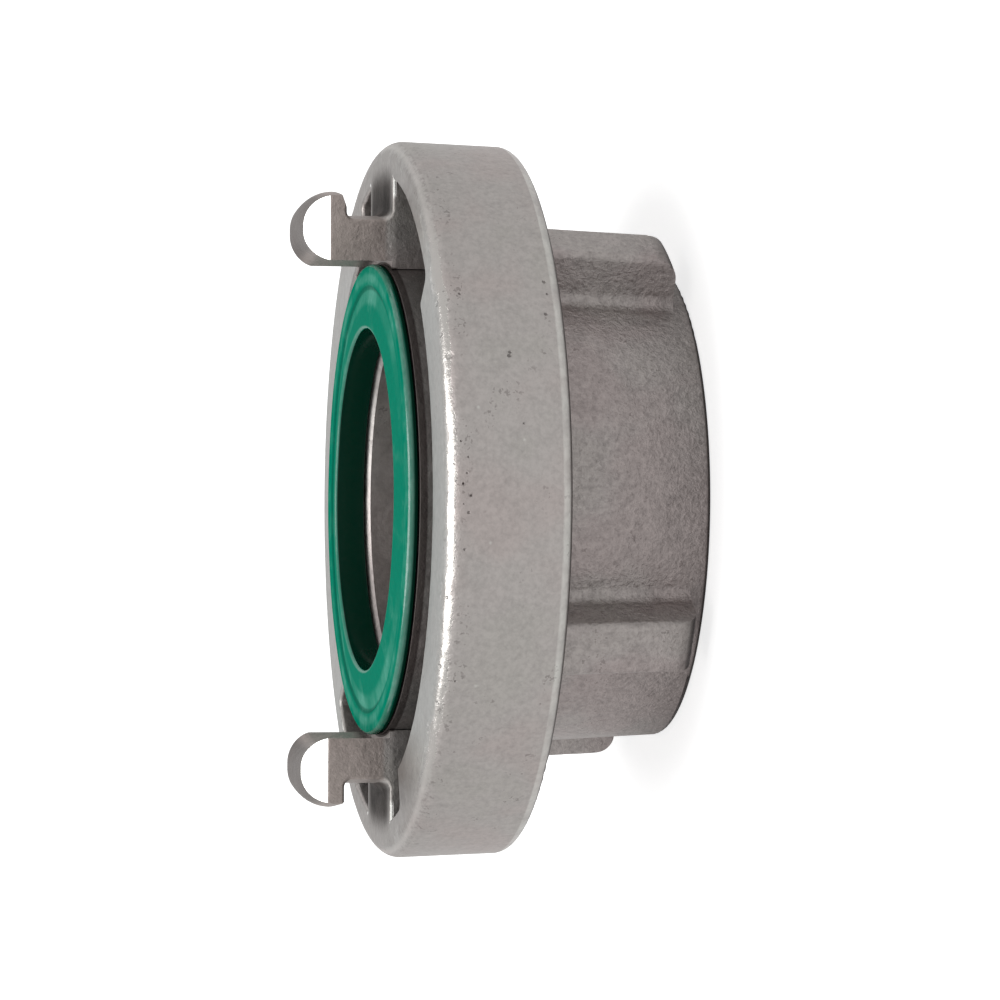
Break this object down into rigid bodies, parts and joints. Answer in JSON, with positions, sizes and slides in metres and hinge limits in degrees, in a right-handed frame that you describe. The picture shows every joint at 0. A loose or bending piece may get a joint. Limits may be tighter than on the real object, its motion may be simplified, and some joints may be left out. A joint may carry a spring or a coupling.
{
  "type": "storz coupling",
  "caption": "Fixed half of a Storz hose coupling in cast stainless steel, with hooked lugs on its collar, a green rubber lip ring and a ribbed socket with an inside thread.",
  "frame": {"origin": "centre of the threaded end's rim, the lowest point of the part", "axes": "+Z along the axis from the threaded end towards the lugs, +X towards one lug"},
  "size_m": [0.0968, 0.0968, 0.0498],
  "materials": {
    "cast_stainless": "cast stainless steel, sand-cast grain with machined faces",
    "green_rubber": "smooth green nitrile rubber"
  },
  "bodies": {
    "root": {"coupling_body": "cast_stainless", "sealing_ring": "green_rubber"}
  },
  "joints": []
}
